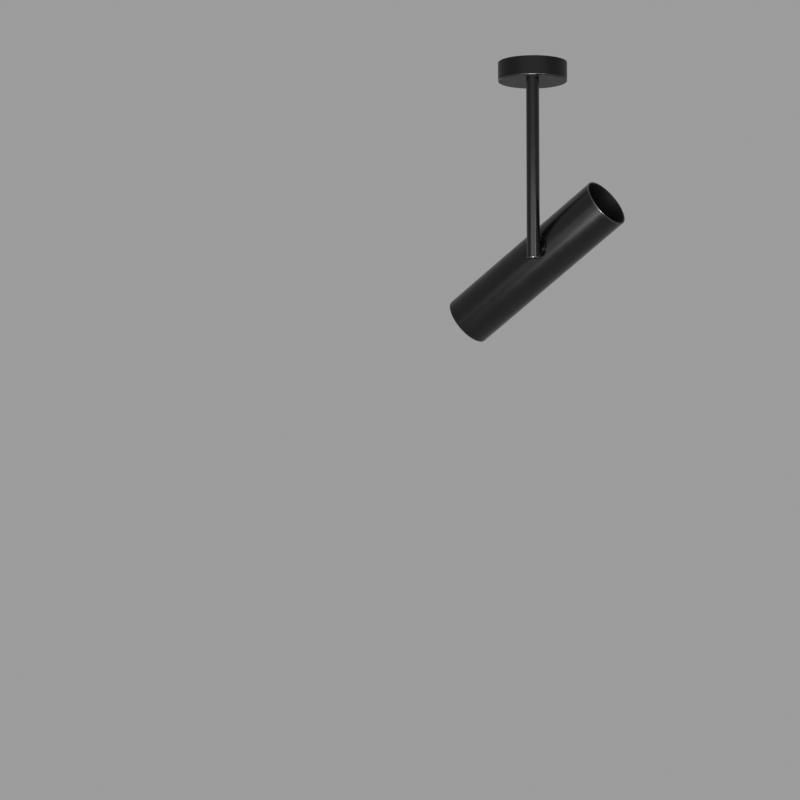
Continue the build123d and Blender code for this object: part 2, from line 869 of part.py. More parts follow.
def lamp_lens():
    """Front glass: flat inside, gently crowned outside, sunk in the lamp's rim."""
    front = lens_inner_z - lens_edge - lens_crown
    crown_radius = (lens_radius**2 + lens_crown**2) / (2 * lens_crown)
    crown = Pos(0, 0, front + crown_radius) * Sphere(crown_radius)
    return on_head_axis(rod(lens_radius, front, lens_inner_z - front) & crown)


def lamp_pins():
    shank = lamp_pin_length - lamp_pin_head_length
    pin = turned(
        (0, lamp_back_z),
        (lamp_pin_shank / 2, lamp_back_z),
        (lamp_pin_shank / 2, lamp_back_z + shank),
        (lamp_pin_head / 2, lamp_back_z + shank),
        (lamp_pin_head / 2, lamp_back_z + lamp_pin_length - edge_break),
        (lamp_pin_head / 2 - edge_break, lamp_back_z + lamp_pin_length),
        (0, lamp_back_z + lamp_pin_length),
    )
    pin = Pos(lamp_pin_spacing / 2, 0, 0) * pin
    turns = (holder_slot_turn, holder_slot_turn + 180)
    return on_head_axis(Compound([Rot(0, 0, turn) * pin for turn in turns]))


def trim_ring():
    """Ring pushed in from the mouth: it centres the lamp and hides its edge."""
    inner = lamp_radius + ring_lamp_gap
    lip_inner = lamp_radius - ring_lip_overlap
    lip_front = lamp_face_z - face_gap - ring_lip
    lip_back = lamp_face_z - face_gap
    return on_head_axis(
        turned(
            (lip_inner, lip_back),
            (lip_inner + ring_lip / 2, lip_front),
            (disc_radius - edge_break, lip_front),
            (disc_radius, lip_front + edge_break),
            (disc_radius, lip_back + ring_length),
            (inner, lip_back + ring_length),
            (inner, lip_back),
        )
    )


# Lead from the terminal block to the lampholder
def core_offsets():
    """Centres of three cores that lie in a triangle, one at its top."""
    half = core_circle * sqrt(3) / 2
    return [(-half, -core_circle / 2), (half, -core_circle / 2), (0, core_circle)]


def canopy_lead():
    y = -stem_offset
    points = [(0, y, spigot_top), (0, y, lead_canopy_z), (0, lead_canopy_end, lead_canopy_z)]
    return cord(points, lead_canopy_z - spigot_top - lead_canopy_run_in, lead_radius)


def canopy_cores():
    entry_y = block_centre_y - block_depth / 2
    end_y = entry_y + sleeve_recess
    cores = []
    for (dx, dz), x in zip(core_offsets(), (-pole_pitch, pole_pitch, 0)):
        z = lead_canopy_z + dz
        points = [
            (dx, lead_canopy_end, z),
            (dx, lead_canopy_end + core_lead_in, z),
            (x, entry_y - core_lead_in, wire_z),
            (x, end_y, wire_z),
        ]
        cores.append(cord(points, bend_radii(points, core_radius), core_radius))
    return Compound(cores)


def stem_lead():
    points = [(0, 0, spigot_top + pin_drop), (0, 0, 0), (0, pin_end_y, 0)]
    return at_pin(cord(points, lead_stem_bend, lead_radius))


def head_lead():
    points = [(0, pin_end_y, 0), (0, head_axis_y, 0), (0, head_axis_y, -lead_head_end)]
    return in_head(cord(points, head_axis_y - pin_end_y - lead_head_run_in, lead_radius))


def holder_cores():
    """The two cores that run through the grommet into the lampholder."""
    end = carrier_front_z - holder_back_recess + face_gap
    core = rod(core_radius, end, -lead_head_end - end)
    return on_head_axis(Compound([Pos(x, y, 0) * core for x, y in core_offsets()[:2]]))


def earth_core():
    x, y = core_offsets()[2]
    level = carrier_rear_z + eyelet_barrel_diameter / 2
    barrel_end = carrier_vent_circle - eyelet_diameter / 2 - eyelet_neck - eyelet_barrel_length
    last_bend = Rot(0, 0, earth_angle) * Pos(barrel_end - earth_core_run, 0, level)
    end = Rot(0, 0, earth_angle) * Pos(barrel_end, 0, level)
    points = [
        (x, y, -lead_head_end),
        (x, y, -lead_head_end - earth_core_drop),
        tuple(last_bend.position),
        tuple(end.position),
    ]
    return on_head_axis(cord(points, bend_radii(points, core_radius), core_radius))


def earth_eyelet():
    """Crimped eyelet of the earth core under the earth screw."""
    body = rod(eyelet_diameter / 2, 0, eyelet_thickness)
    neck_end = eyelet_diameter / 2 + eyelet_neck
    tongue_length = neck_end + eyelet_barrel_length
    tongue = block(tongue_length, eyelet_barrel_diameter, 0, eyelet_thickness)
    body += Pos(-tongue_length / 2, 0, 0) * tongue
    barrel = Rot(0, -90, 0) * rod(eyelet_barrel_diameter / 2, neck_end, eyelet_barrel_length)
    body += Pos(0, 0, eyelet_barrel_diameter / 2) * barrel
    body -= rod(earth_screw_diameter / 2, -overrun, eyelet_thickness + 2 * overrun)
    return on_head_axis(earth_place() * Pos(0, 0, carrier_rear_z) * body)


os.makedirs("parts", exist_ok=True)
save("canopy", canopy())
save("ceiling_bracket", ceiling_bracket())
save("canopy_grub_screws", grub_screws())
save("terminal_block", terminal_block())
save("terminal_sleeves", terminal_sleeves())
save("terminal_screws", terminal_screws())
save("terminal_block_screws", block_screws())
save("cord_grip", cord_grip())
save("cord_grip_screws", grip_screws())
save("pan_bush", pan_bush())
save("pan_washer", pan_washer())
save("pan_stop_pin", pan_stop_pin())
save("canopy_lead", canopy_lead())
save("canopy_cores", canopy_cores())
save("stem_tube", stem_tube())
save("stem_spigot", stem_spigot())
save("pan_stop_washer", pan_stop_washer())
save("pan_spring_washer", pan_spring())
save("pan_nut", pan_nut())
save("stem_core", stem_core())
save("swivel_pin", swivel_pin())
save("swivel_collar", swivel_collar())
save("outer_friction_washer", friction_washer(collar_diameter / 2, washer_y))
save("inner_friction_washer", friction_washer(washer_diameter / 2, inner_washer_y))
save("tilt_spring_washer", tilt_spring())
save("tilt_stop_washer", tilt_stop_washer())
save("tilt_nut", tilt_nut())
save("stem_lead", stem_lead())
save("head_tube", head_tube())
save("joint_seat", joint_seat())
save("tilt_stop_pins", tilt_stop_pins())
save("rear_partition", rear_partition())
save("lamp_carrier", lamp_carrier())
save("lead_grommet", lead_grommet())
save("lampholder", lampholder())
save("lampholder_screws", lampholder_screws())
save("earth_screw", earth_screw())
save("earth_eyelet", earth_eyelet())
save("lamp_body", lamp_body())
save("lamp_lens", lamp_lens())
save("lamp_led", lamp_led())
save("lamp_pins", lamp_pins())
save("trim_ring", trim_ring())
save("head_lead", head_lead())
save("holder_cores", holder_cores())
save("earth_core", earth_core())
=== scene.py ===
import json
import math
from collections import namedtuple

import bpy
from mathutils import Matrix, Vector


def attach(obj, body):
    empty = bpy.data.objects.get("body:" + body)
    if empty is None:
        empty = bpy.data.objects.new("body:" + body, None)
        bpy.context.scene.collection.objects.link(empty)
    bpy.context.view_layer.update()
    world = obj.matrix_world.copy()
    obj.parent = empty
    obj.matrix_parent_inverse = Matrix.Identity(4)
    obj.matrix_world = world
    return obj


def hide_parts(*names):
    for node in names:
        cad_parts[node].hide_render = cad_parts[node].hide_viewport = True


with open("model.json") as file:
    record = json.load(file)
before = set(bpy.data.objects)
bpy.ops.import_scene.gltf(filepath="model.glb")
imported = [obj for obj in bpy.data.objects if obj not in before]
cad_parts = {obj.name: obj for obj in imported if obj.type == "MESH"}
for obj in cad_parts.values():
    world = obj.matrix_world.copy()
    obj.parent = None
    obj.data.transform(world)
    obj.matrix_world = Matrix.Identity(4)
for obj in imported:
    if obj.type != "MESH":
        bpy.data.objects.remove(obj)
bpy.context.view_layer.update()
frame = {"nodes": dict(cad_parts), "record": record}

nodes = frame["nodes"]
MM = 0.001

# Places of the bodies at rest, as the CAD has them, in mm and degrees
PAN_ANGLE, TILT_ANGLE = -34, 58
STEM_Y = -26        # the stem's axis, in front of the canopy's
PIN_Z = -218        # the tilt axis, below the ceiling
TUBE_Y = 38.5       # the tube's axis, from the stem's along the pin
CANOPY = Matrix.Identity(4)
STEM = Matrix.Translation((0, STEM_Y * MM, 0)) @ Matrix.Rotation(math.radians(PAN_ANGLE), 4, "Z")
PIN = STEM @ Matrix.Translation((0, 0, PIN_Z * MM))
HEAD = PIN @ Matrix.Rotation(math.radians(TILT_ANGLE), 4, "Y")
TUBE = HEAD @ Matrix.Translation((0, TUBE_Y * MM, 0))


# ---------------------------------------------------------------- materials
# Noise seldom leaves this range, so colours and roughness are spread over it
NOISE_LOW, NOISE_HIGH = 0.3, 0.7


def shade(colour, share):
    """The colour made darker or lighter, but not past white."""
    return tuple(min(1.0, c * share) for c in colour)


class Nodes:
    """A material's node tree, with short calls for what its shader needs here."""

    def __init__(self, name):
        self.material = bpy.data.materials.new(name)
        self.material.use_nodes = True
        self.tree = self.material.node_tree
        self.shader = self.tree.nodes["Principled BSDF"]
        self.coords = self.tree.nodes.new("ShaderNodeTexCoord").outputs["Object"]

    def link(self, source, target):
        self.tree.links.new(source, target)

    def set(self, **values):
        """Constants, on the shader's own sockets."""
        for name, value in values.items():
            self.shader.inputs[name.replace("_", " ")].default_value = value

    def noise(self, scale, detail=3.0, rough=0.5):
        node = self.tree.nodes.new("ShaderNodeTexNoise")
        node.inputs["Scale"].default_value = scale
        node.inputs["Detail"].default_value = detail
        node.inputs["Roughness"].default_value = rough
        self.link(self.coords, node.inputs["Vector"])
        return node.outputs["Fac"]

    def cells(self, scale):
        """Distance from the middle of small cells."""
        node = self.tree.nodes.new("ShaderNodeTexVoronoi")
        node.inputs["Scale"].default_value = scale
        self.link(self.coords, node.inputs["Vector"])
        return node.outputs["Distance"]

    def colour(self, source, stops):
        """Base colour that follows the source through (place, colour) stops."""
        node = self.tree.nodes.new("ShaderNodeValToRGB")
        elements = node.color_ramp.elements
        while len(elements) < len(stops):
            elements.new(0.5)
        for element, (place, colour) in zip(elements, stops):
            element.position = place
            element.color = (*colour, 1)
        self.link(source, node.inputs["Fac"])
        self.link(node.outputs["Color"], self.shader.inputs["Base Color"])

    def mottle(self, source, colour, dark, light, start=NOISE_LOW, end=NOISE_HIGH):
        """Base colour between two shares of one colour."""
        self.colour(source, [(start, shade(colour, dark)), (end, shade(colour, light))])

    def roughness(self, source, low, high):
        node = self.tree.nodes.new("ShaderNodeMapRange")
        node.inputs["From Min"].default_value = NOISE_LOW
        node.inputs["From Max"].default_value = NOISE_HIGH
        node.inputs["To Min"].default_value = low
        node.inputs["To Max"].default_value = high
        self.link(source, node.inputs["Value"])
        self.link(node.outputs["Result"], self.shader.inputs["Roughness"])

    def relief(self, source, strength, height):
        """Bump as high as the height in metres, times the strength."""
        node = self.tree.nodes.new("ShaderNodeBump")
        node.inputs["Strength"].default_value = strength
        node.inputs["Distance"].default_value = height
        self.link(source, node.inputs["Height"])
        self.link(node.outputs["Normal"], self.shader.inputs["Normal"])


def satin_paint(name, colour, rough, ior):
    """Sprayed paint: fine orange peel, cloudy gloss and a trace of dust in its colour."""
    n = Nodes(name)
    n.mottle(n.noise(38.0, detail=4.0, rough=0.55), colour, dark=0.82, light=1.2)
    n.roughness(n.noise(110.0), rough - 0.025, rough + 0.03)
    n.relief(n.noise(900.0, detail=2.0), strength=0.5, height=0.000004)
    n.set(IOR=ior)
    return n.material


def worked_metal(name, colour, rough, scale=900.0, spread=0.12):
    """Plated or turned metal with faint machining marks and a clouded plating."""
    n = Nodes(name)
    cloud = n.noise(160.0, detail=5.0, rough=0.6)
    n.mottle(cloud, colour, dark=0.8, light=1.12, start=0.32, end=0.68)
    marks = n.noise(scale, rough=0.6)
    n.roughness(marks, rough - spread / 2, rough + spread / 2)
    n.relief(marks, strength=0.4, height=0.00001)
    n.set(Metallic=1.0)
    return n.material


def moulded_plastic(name, colour, rough, soft=0.0):
    """Moulded plastic with a spark-eroded grain and slight shade changes in the mass."""
    n = Nodes(name)
    n.mottle(n.noise(70.0), colour, dark=0.93, light=1.04)
    grain = n.noise(2200.0, detail=2.0, rough=0.6)
    n.roughness(grain, rough - 0.05, rough + 0.06)
    n.relief(grain, strength=0.5, height=0.000014)
    if soft:
        n.set(Subsurface_Weight=soft, Subsurface_Scale=0.002)
    return n.material


def steatite(name, colour):
    """Unglazed ceramic: dense, faintly speckled, matt."""
    n = Nodes(name)
    stops = [(0.0, shade(colour, 0.86)), (0.25, colour), (1.0, shade(colour, 1.05))]
    n.colour(n.cells(1400.0), stops)
    n.roughness(n.noise(300.0), 0.42, 0.6)
    n.relief(n.noise(1800.0), strength=0.5, height=0.00002)
    return n.material


def rubber(name, colour):
    """Moulded rubber: matt, with a dusty bloom."""
    n = Nodes(name)
    n.mottle(n.noise(90.0), colour, dark=0.8, light=1.35)
    n.roughness(n.noise(700.0), 0.55, 0.75)
    n.relief(n.noise(2600.0), strength=0.6, height=0.00002)
    return n.material


def cable(name, colour, mark):
    """Smooth plastic of a lead's sheath or cores, with faint lighter marks."""
    n = Nodes(name)
    marks = n.noise(420.0, detail=2.0)
    n.colour(marks, [(0.35, colour), (0.65, mark)])
    n.roughness(marks, 0.38, 0.5)
    n.relief(marks, strength=0.3, height=0.00003)
    return n.material


def earth_stripes(name, green, yellow):
    """Core insulation in bands of two colours with sharp borders."""
    n = Nodes(name)
    wave = n.tree.nodes.new("ShaderNodeTexWave")
    wave.inputs["Scale"].default_value = 190.0
    wave.inputs["Distortion"].default_value = 0.6
    n.link(n.coords, wave.inputs["Vector"])
    n.colour(wave.outputs["Fac"], [(0.46, green), (0.54, yellow)])
    n.roughness(n.noise(900.0), 0.35, 0.45)
    return n.material


def clear_lens(name):
    """Clear moulded plastic with a faint ripple."""
    n = Nodes(name)
    tints = [(NOISE_LOW, (0.95, 0.97, 0.97)), (NOISE_HIGH, (0.99, 0.99, 0.99))]
    n.colour(n.noise(40.0), tints)
    ripple = n.noise(160.0, detail=2.0)
    n.roughness(ripple, 0.02, 0.06)
    n.relief(ripple, strength=0.15, height=0.00004)
    n.set(Transmission_Weight=1.0, IOR=1.49)
    return n.material


def phosphor(name):
    """Yellow silicone over the light source, with a fine grain."""
    n = Nodes(name)
    grain = n.cells(2600.0)
    n.colour(grain, [(0.0, (0.72, 0.5, 0.08)), (0.6, (0.88, 0.68, 0.16))])
    n.roughness(n.noise(500.0), 0.3, 0.45)
    n.relief(grain, strength=0.4, height=0.00003)
    return n.material


BLACK = (0.002, 0.002, 0.0021)
# Lighter grey of the edge paints below, which put painted highlights on rounded edges
EDGE_GLINT_GREY = (0.02, 0.02, 0.0205)
finish = {
    "black_steel": satin_paint("black_steel_paint", BLACK, 0.19, ior=1.48),
    "black_aluminium": satin_paint("black_aluminium_paint", BLACK, 0.235, ior=1.48),
    "black_screw": worked_metal("black_oxide", (0.05, 0.05, 0.055), 0.4),
    "zinc_steel": worked_metal("zinc_plate", (0.58, 0.58, 0.6), 0.36),
    "spring_steel": worked_metal("spring_steel", (0.4, 0.4, 0.42), 0.3),
    "brass": worked_metal("brass", (0.72, 0.55, 0.26), 0.3),
    "nickel_brass": worked_metal("nickel_plate", (0.66, 0.64, 0.58), 0.25),
    "white_nylon": moulded_plastic("white_nylon", (0.8, 0.8, 0.77), 0.5, soft=0.15),
    "friction_plastic": moulded_plastic("black_acetal", (0.03, 0.03, 0.031), 0.45),
    "holder_ceramic": steatite("ceramic", (0.83, 0.82, 0.78)),
    "lamp_plastic": moulded_plastic("lamp_plastic", (0.75, 0.75, 0.75), 0.35),
    "lens": clear_lens("lens_plastic"),
    "led": phosphor("phosphor"),
    "black_rubber": rubber("black_rubber", (0.025, 0.025, 0.025)),
    "lead_sheath": cable("lead_sheath", (0.028, 0.028, 0.029), (0.045, 0.045, 0.046)),
    "core_insulation": cable("core_insulation", (0.24, 0.15, 0.09), (0.32, 0.23, 0.16)),
    "earth_insulation": earth_stripes("earth_insulation", (0.05, 0.25, 0.06), (0.75, 0.6, 0.05)),
}
bore_black = satin_paint("bore_black_paint", (0.008, 0.008, 0.0085), 0.5, ior=1.35)
# Glossier, lighter paints on the outer rounded edges: painted highlights (glints), each IOR set for
# how bright the glint at its place is
steel_glint_edge = satin_paint("steel_edge_paint", EDGE_GLINT_GREY, 0.17, ior=2.5)
canopy_glint_edge = satin_paint("canopy_edge_paint", EDGE_GLINT_GREY, 0.17, ior=1.8)
aluminium_glint_edge = satin_paint("aluminium_edge_paint", EDGE_GLINT_GREY, 0.13, ior=2.6)
chrome = worked_metal("reflector_coating", (0.88, 0.88, 0.89), 0.12, scale=300.0, spread=0.06)
canopy_paint = satin_paint("canopy_paint", BLACK, 0.42, ior=1.36)

slot_of = {row["node"]: row["material_slot"] for row in frame["record"]["subparts"]}
for name, node in nodes.items():
    node.data.materials.clear()
    node.data.materials.append(finish[slot_of[name]])
for name in ("rear_partition", "lamp_carrier", "stem_core"):
    nodes[name].material_slots[0].material = bore_black


# ---------------------------------------------------------------- mesh helpers
TOUCH = 1e-6        # mm; points nearer than this are one
NO_AREA = 1e-9      # mm2; faces below this are left out
BENT = 0.987        # cosine of about 9 degrees; normals that spread more make a face bent
GLINT_LEAN = 0.6      # a face that looks further up or down than this gets no painted highlight
ARC_STEPS = 8


def outline(corners):
    """Closed profile (radius, height, arc radius) in mm as (r, z, normal r, normal z) points."""
    area = sum(a[0] * b[1] - b[0] * a[1] for a, b in zip(corners, corners[1:] + corners[:1]))
    if area < 0:
        corners = corners[::-1]
    points = []
    for i, (r, z, arc) in enumerate(corners):
        here = Vector((r, z))
        into = (here - Vector(corners[i - 1][:2])).normalized()
        out = (Vector(corners[(i + 1) % len(corners)][:2]) - here).normalized()
        start = math.atan2(into.y, into.x)
        turn = math.atan2(into.x * out.y - into.y * out.x, into.dot(out))
        side = 1 if turn > 0 else -1
        left = Vector((-into.y, into.x))
        centre = here - into * (arc * math.tan(abs(turn) / 2)) + left * (side * arc)
        count = ARC_STEPS if arc else 1
        for k in range(count + 1):
            angle = start + turn * k / count
            normal = Vector((math.sin(angle), -math.cos(angle)))
            point = centre + normal * (arc * side)
            points.append((point.x, point.y, normal.x, normal.y))
    return points


def turned(faces, vectors, aims):
    """The faces that have an area, each turned to look where its normals aim."""
    out = []
    for face in faces:
        corners = [vectors[i] for i in face]
        across = (corners[2] - corners[0]).cross(corners[-1] - corners[1])
        if across.length < NO_AREA:
            continue
        aim = sum((aims[i] for i in face), Vector())
        out.append(face if across.dot(aim) > 0 else face[::-1])
    return out


def dress_faces(mesh, vectors, aims, lined):
    """Gives the outer rounded edges that look sideways material 1, for painted highlights, and, if
    lined, the faces that look at the axis 2.
    """
    for polygon in mesh.polygons:
        around = [aims[i] for i in polygon.vertices]
        middle = sum((vectors[i] for i in polygon.vertices), Vector())
        aim = sum(around, Vector()).normalized()
        outward = aim.xy.dot(middle.xy)
        bent = min(a.dot(b) for a in around for b in around) < BENT
        if bent and abs(aim.z) < GLINT_LEAN and outward > 0:
            polygon.material_index = 1
        elif lined and outward < 0:
            polygon.material_index = 2


def new_piece(name, shape, place, body, material, edges=None, lining=None):
    """Piece from a shape's points in mm, normals and faces. Edges is the material of the outer
    rounded edges that look sideways, a glossier and lighter paint for painted highlights;
    lining, which needs edges, is that of the faces that look at the axis."""
    points, normals, faces = shape
    vectors = [Vector(p) for p in points]
    aims = [Vector(n).normalized() for n in normals]
    mesh = bpy.data.meshes.new(name)
    mesh.from_pydata([place @ (v * MM) for v in vectors], [], turned(faces, vectors, aims))
    mesh.polygons.foreach_set("use_smooth", [True] * len(mesh.polygons))
    rotation = place.to_3x3()
    mesh.normals_split_custom_set_from_vertices([rotation @ a for a in aims])
    for each in (material, edges, lining):
        if each:
            mesh.materials.append(each)
    if edges:
        dress_faces(mesh, vectors, aims, lined=lining is not None)
    piece = bpy.data.objects.new(name, mesh)
    bpy.context.scene.collection.objects.link(piece)
    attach(piece, body)
    return piece


def lathe(profile, segments):
    """Points, normals and faces of a profile turned about Z."""
    points, normals, faces = [], [], []
    for r, z, nr, nz in profile:
        for j in range(segments):
            angle = 2 * math.pi * j / segments
            points.append((r * math.cos(angle), r * math.sin(angle), z))
            normals.append((nr * math.cos(angle), nr * math.sin(angle), nz))
    for i, here in enumerate(profile):
        k = (i + 1) % len(profile)
        there = profile[k]
        gap = math.hypot(here[0] - there[0], here[1] - there[1])
        if gap < TOUCH or max(here[0], there[0]) < TOUCH:
            continue
        for j in range(segments):
            m = (j + 1) % segments
            corners = [i * segments + j, i * segments + m, k * segments + m, k * segments + j]
            if here[0] < TOUCH:
                corners.pop(0)
            elif there[0] < TOUCH:
                corners.pop(2)
            faces.append(tuple(corners))
    return points, normals, faces


def split_rows(profile, radius, heights):
    """Adds points at these heights to the straight wall of that radius."""
    out = []
    for here, there in zip(profile, profile[1:] + profile[:1]):
        out.append(here)
        if abs(here[0] - radius) < TOUCH and abs(there[0] - radius) < TOUCH:
            low, high = sorted((here[1], there[1]))
            between = [z for z in heights if low + TOUCH < z < high - TOUCH]
            between.sort(reverse=here[1] > there[1])
            out += [(radius, z, here[2], here[3]) for z in between]
    return out


# Round hole in the side of a turned wall, square to its axis: its place in steps round the
# axis and as a height, its radius and its rim's, and the patch of wall that gives way to it,
# as half its count of cells and half its height
Port = namedtuple("Port", "step height hole rim half reach")
PATCH_SHARES = (0.2, 0.4, 0.6, 0.8, 1.0)    # rings from the patch's border to the rim
RIM_STEPS = 6


def patch_heights(port):
    """Heights of the rows of points in a port's patch."""
    return [port.height + port.reach * k / port.half for k in range(-port.half, port.half + 1)]


def wall_rows(profile, radius, heights):
    """Places in the profile of the wall's points at these heights."""
    rows = {}
    for i, (r, z, nr, _) in enumerate(profile):
        if abs(r - radius) < TOUCH and abs(abs(nr) - 1) < TOUCH:
            for k, height in enumerate(heights):
                if abs(z - height) < TOUCH:
                    rows[k] = i
    return rows


def patch_cells(port, rows, segments):
    """The faces of the patch, each as the set of its points."""
    return {
        frozenset(rows[p] * segments + q % segments for p in (k, k + 1) for q in (j, j + 1))
        for k in range(2 * port.half)
        for j in range(port.step - port.half, port.step + port.half)
    }


def port_rings(port, radius, sign, rows, segments, points, normals):
    """Adds the points from the patch's border to the hole, and gives them as rings. The sign
    is 1 on the outer wall and -1 on the inner one."""
    angle = 2 * math.pi * port.step / segments
    axis = Vector((math.cos(angle), math.sin(angle), 0))
    side = Vector((-math.sin(angle), math.cos(angle), 0))
    size = 2 * port.half
    walk = [(0, q) for q in range(size)] + [(p, size) for p in range(size)]
    walk += [(size, q) for q in range(size, 0, -1)] + [(p, 0) for p in range(size, 0, -1)]
    border = [rows[p] * segments + (port.step - port.half + q) % segments for p, q in walk]
    flat = []
    for i in border:
        v = Vector(points[i])
        flat.append((v.dot(side), v.z - port.height))
    turns = [math.atan2(z, x) for x, z in flat]

    stations = [(port.hole + port.rim, 0.0, 0.0, share) for share in PATCH_SHARES]
    for k in range(1, RIM_STEPS + 1):
        lean = math.pi / 2 * k / RIM_STEPS
        reach = port.hole + port.rim * (1 - math.sin(lean))
        stations.append((reach, port.rim * (1 - math.cos(lean)), lean, 1.0))

    rings = [border]
    for reach, depth, lean, share in stations:
        ring = []
        for (x0, z0), turn in zip(flat, turns):
            x = x0 + (reach * math.cos(turn) - x0) * share
            z = z0 + (reach * math.sin(turn) - z0) * share
            y = math.sqrt(radius**2 - x * x)
            skin = (side * x + axis * y) * (sign / radius)
            wall = -(side * math.cos(turn) + Vector((0, 0, math.sin(turn))))
            up = Vector((0, 0, port.height + z))
            points.append(tuple(side * x + axis * (y - sign * depth) + up))
            normals.append(tuple(skin * math.cos(lean) + wall * math.sin(lean)))
            ring.append(len(points) - 1)
        rings.append(ring)
    return rings


def bridge(first, second):
    """Faces between two rings."""
    pairs = list(zip(first, second))
    return [(a, b, d, c) for (a, c), (b, d) in zip(pairs, pairs[1:] + pairs[:1])]


def pierced(corners, segments, radii, ports, bands=()):
    """Turned wall with side holes, from its corners and its outer and inner radius, with
    further rows of points at the heights in bands."""
    profile = outline(corners)
    for port in ports:
        for radius in radii:
            profile = split_rows(profile, radius, patch_heights(port))
    for radius in radii:
        profile = split_rows(profile, radius, bands)
    points, normals, faces = lathe(profile, segments)
    gone = set()
    for port in ports:
        mouths = []
        for radius, sign in zip(radii, (1, -1)):
            rows = wall_rows(profile, radius, patch_heights(port))
            gone |= patch_cells(port, rows, segments)
            rings = port_rings(port, radius, sign, rows, segments, points, normals)
            for ring, following in zip(rings, rings[1:]):
                faces += bridge(ring, following)
            mouths.append(rings[-1])
        outer, inner = mouths
        faces += bridge(inner, outer)
    return points, normals, [face for face in faces if frozenset(face) not in gone]


# ---------------------------------------------------------------- canopy, stem and tube
# Radii and heights in mm, as in the CAD. The tube's outside is a hair under the CAD's 30, so
# that the round rims stay within its faceted box.
CANOPY_OUT, CANOPY_IN = 40, 38.5
CANOPY_BOTTOM, CANOPY_FLOOR = -22.5, -20.5
STEM_OUT, STEM_IN = 7.5, 5.5
STEM_TOP, STEM_END = -23.1, -233.5
STEM_BANDS = range(-30, -230, -10)
TUBE_OUT, TUBE_IN = 29.98, 28
TUBE_MOUTH, TUBE_REAR = -140, 88
TUBE_BANDS = [*range(-138, -29, 9), *range(26, 87, 10)]
TUBE_RIM = 0.6

canopy_corners = [
    (CANOPY_IN, 0, 0.15), (CANOPY_OUT, 0, 0.15), (CANOPY_OUT, CANOPY_BOTTOM, 1.3),
    (0, CANOPY_BOTTOM, 0), (0, CANOPY_FLOOR, 0), (CANOPY_IN, CANOPY_FLOOR, 1.0),
]
screw_ports = [
    Port(step, height=-8, hole=2.1, rim=0.15, half=4, reach=5.4) for step in (0, 90)
]
shape = pierced(canopy_corners, segments=180, radii=(CANOPY_OUT, CANOPY_IN), ports=screw_ports)
canopy = new_piece("canopy_shell", shape, CANOPY, "root",
                   canopy_paint, canopy_glint_edge)
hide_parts("canopy")

stem_corners = [
    (STEM_IN, STEM_TOP, 0.2), (STEM_OUT, STEM_TOP, 0.4), (STEM_OUT, STEM_END, 1.2),
    (STEM_IN, STEM_END, 0.3),
]
shape = pierced(stem_corners, segments=96, radii=(STEM_OUT, STEM_IN), ports=[], bands=STEM_BANDS)
stem = new_piece("stem_shell", shape, STEM, "stem",
                 finish["black_steel"], steel_glint_edge)
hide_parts("stem_tube")

tube_corners = [
    (TUBE_IN, TUBE_MOUTH, TUBE_RIM), (TUBE_OUT, TUBE_MOUTH, TUBE_RIM),
    (TUBE_OUT, TUBE_REAR, TUBE_RIM), (TUBE_IN, TUBE_REAR, TUBE_RIM),
]
joint_port = Port(90, height=0, hole=12.2, rim=0.5, half=12, reach=20)
shape = pierced(tube_corners, segments=120, radii=(TUBE_OUT, TUBE_IN), ports=[joint_port],
                bands=TUBE_BANDS)
tube = new_piece("head_shell", shape, TUBE, "head",
                 finish["black_aluminium"], aluminium_glint_edge, bore_black)
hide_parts("head_tube")


# ---------------------------------------------------------------- lamp in the tube's mouth
BOWL_FLOOR, LENS_SEAT = -95, -109           # heights
BOWL_HOLE, BOWL_MOUTH = 6, 21               # radii
BOWL_STEPS = 12
FACET_LIFT = 0.04                           # keeps the facets clear of the shell
NUDGE = 0.01                                # share of a facet, for its slopes
TO_MOUTH = -20                              # how far inward aims at the mouth


def bowl(share):
    """Point and inward normal of the reflector, from its floor (0) to the lens (1)."""
    a, b, c = (Vector(p) for p in (
        (BOWL_HOLE, BOWL_FLOOR), (BOWL_MOUTH, BOWL_FLOOR), (BOWL_MOUTH, LENS_SEAT)))
    point = a * (1 - share) ** 2 + b * 2 * share * (1 - share) + c * share**2
    along = ((b - a) * (1 - share) + (c - b) * share).normalized()
    return point, Vector((along.y, -along.x))


def faceted_bowl(rings, columns, cells, swell):
    """Reflector of small pillow facets, each ring turned by half a facet from the last."""
    points, normals, faces = [], [], []

    def pillow(ring, column, u, v):
        lift = FACET_LIFT + swell * (1 - (2 * u - 1) ** 2) * (1 - (2 * v - 1) ** 2)
        angle = 2 * math.pi * (column + v + 0.5 * (ring % 2)) / columns
        point, normal = bowl((ring + u) / rings)
        r, z = point + normal * lift
        return Vector((r * math.cos(angle), r * math.sin(angle), z))

    for ring in range(rings):
        for column in range(columns):
            start = len(points)
            for i in range(cells + 1):
                for j in range(cells + 1):
                    u, v = i / cells, j / cells
                    here = pillow(ring, column, u, v)
                    du = pillow(ring, column, u + NUDGE, v) - pillow(ring, column, u - NUDGE, v)
                    dv = pillow(ring, column, u, v + NUDGE) - pillow(ring, column, u, v - NUDGE)
                    normal = du.cross(dv)
                    inward = Vector((-here.x, -here.y, TO_MOUTH))
                    points.append(tuple(here))
                    normals.append(tuple(normal if normal.dot(inward) > 0 else -normal))
            for i in range(cells):
                for j in range(cells):
                    a = start + i * (cells + 1) + j
                    faces.append((a, a + 1, a + cells + 2, a + cells + 1))
    return points, normals, faces


curve = [(*bowl(k / BOWL_STEPS)[0], 0) for k in range(BOWL_STEPS + 1)]
shell_corners = [
    *curve, (22, LENS_SEAT, 0), (22, -112, 0.3), (25, -112, 0.8), (25, -104, 3.0),
    (21.5, -91, 8.0), (15.5, -82, 4.0), (15.5, -69, 0.6), (12.5, -69, 0.2), (12.5, -65, 0.5),
    (0, -65, 0), (0, BOWL_FLOOR, 0),
]
shape = lathe(outline(shell_corners), segments=128)
shell = new_piece("lamp_shell", shape, TUBE, "head", finish["lamp_plastic"])
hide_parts("lamp_body")
shape = faceted_bowl(rings=7, columns=28, cells=4, swell=0.28)
reflector = new_piece("lamp_reflector", shape, TUBE, "head", chrome)
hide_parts("lamp_body")

